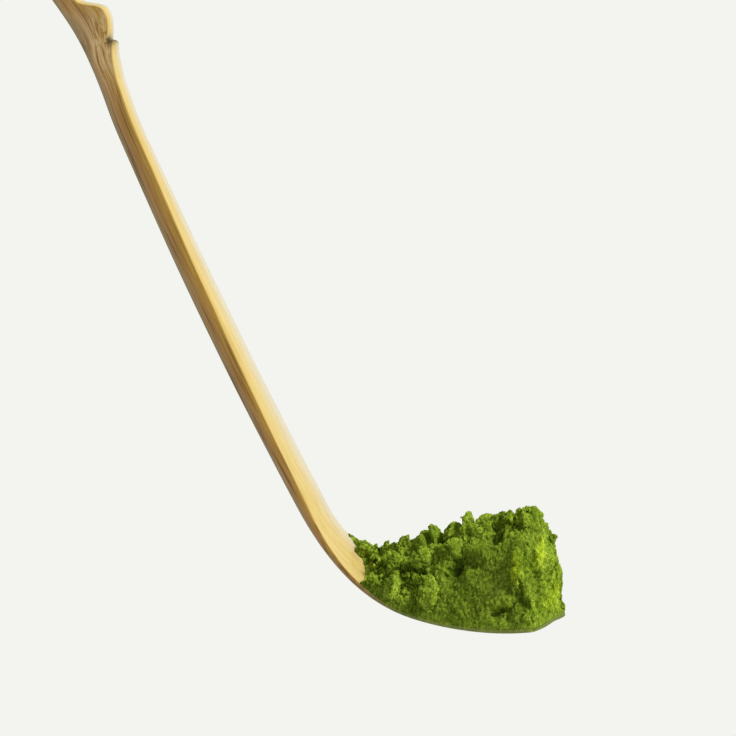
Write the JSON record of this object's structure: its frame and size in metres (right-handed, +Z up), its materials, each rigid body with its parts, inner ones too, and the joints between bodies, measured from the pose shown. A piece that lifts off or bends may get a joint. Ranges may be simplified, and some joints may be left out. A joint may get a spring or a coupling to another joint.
{
  "type": "matcha scoop",
  "caption": "Slim tea scoop whittled from a single strip of bamboo, with a swollen node and a thin heat-bent bowl, carrying a mound of loose green tea powder that slides off over the lip.",
  "frame": {"origin": "on the flat face of the handle, on the strip's centre line, where the thumb rests, 36 mm from the cut end", "axes": "+Z up with the scoop held level to carry powder, +X from the handle towards the lip, +Y across the strip"},
  "size_m": [0.1105, 0.0119, 0.1364],
  "materials": {
    "bamboo": "whittled and dry-polished, no varnish",
    "matcha": "fine dry powder, fully matte"
  },
  "bodies": {
    "scoop": {"bamboo_scoop": "bamboo"},
    "powder": {"matcha_heap": "matcha", "clod_tail": "matcha", "clod_foot": "matcha", "clod_heel": "matcha", "clod_flank": "matcha", "clod_slope": "matcha", "clod_front": "matcha", "clod_knob": "matcha", "clod_middle": "matcha", "clod_wedge": "matcha", "clod_ledge": "matcha", "clod_saddle": "matcha", "clod_column": "matcha", "clod_step": "matcha", "clod_dome": "matcha", "clod_crown": "matcha", "clod_shoulder": "matcha"}
  },
  "joints": [
    {"name": "powder_slide", "type": "slide", "parent": "scoop", "child": "powder", "axis": [0.9823, 0, 0.1874], "range_m": [0, 0.03]}
  ]
}
